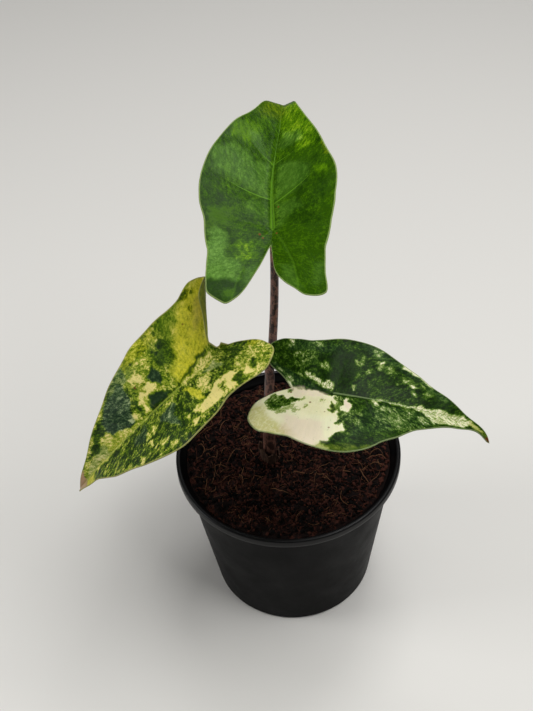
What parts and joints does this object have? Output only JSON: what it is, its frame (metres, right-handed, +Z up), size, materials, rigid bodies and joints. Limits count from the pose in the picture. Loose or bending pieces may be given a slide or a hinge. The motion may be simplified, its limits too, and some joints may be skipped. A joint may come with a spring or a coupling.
{
  "type": "potted siberian tiger alocasia",
  "caption": "Young variegated alocasia with arrow-shaped leaves on slim petioles, growing in coir in a round black nursery pot.",
  "frame": {"origin": "middle of the underside of the pot's base, on the surface the pot stands on", "axes": "+Z up along the pot's axis, -Y towards the side that the two low leaves are on, +X to the right seen from there"},
  "size_m": [0.1909, 0.1521, 0.2736],
  "materials": {
    "pot_plastic": "black moulded plastic, satin",
    "coir": "moist dark brown coir with loose reddish fibres",
    "corm": "brown, ringed and matt",
    "dry_sheath": "dried brown leaf sheath, papery",
    "petiole": "pinkish brown with short dark tiger marks, satin",
    "blade_green": "glossy mid green leaf with pale veins",
    "blade_yellow": "satin leaf, yellow green mottled with dark green",
    "blade_white": "satin leaf, dark green with creamy white sectors"
  },
  "bodies": {
    "root": {"pot": "pot_plastic", "coir": "coir", "corm": "corm", "dry_sheath": "dry_sheath", "petiole_top": "petiole", "petiole_left": "petiole", "petiole_right": "petiole", "blade_top": "blade_green", "blade_left": "blade_yellow", "blade_right": "blade_white"}
  },
  "joints": []
}
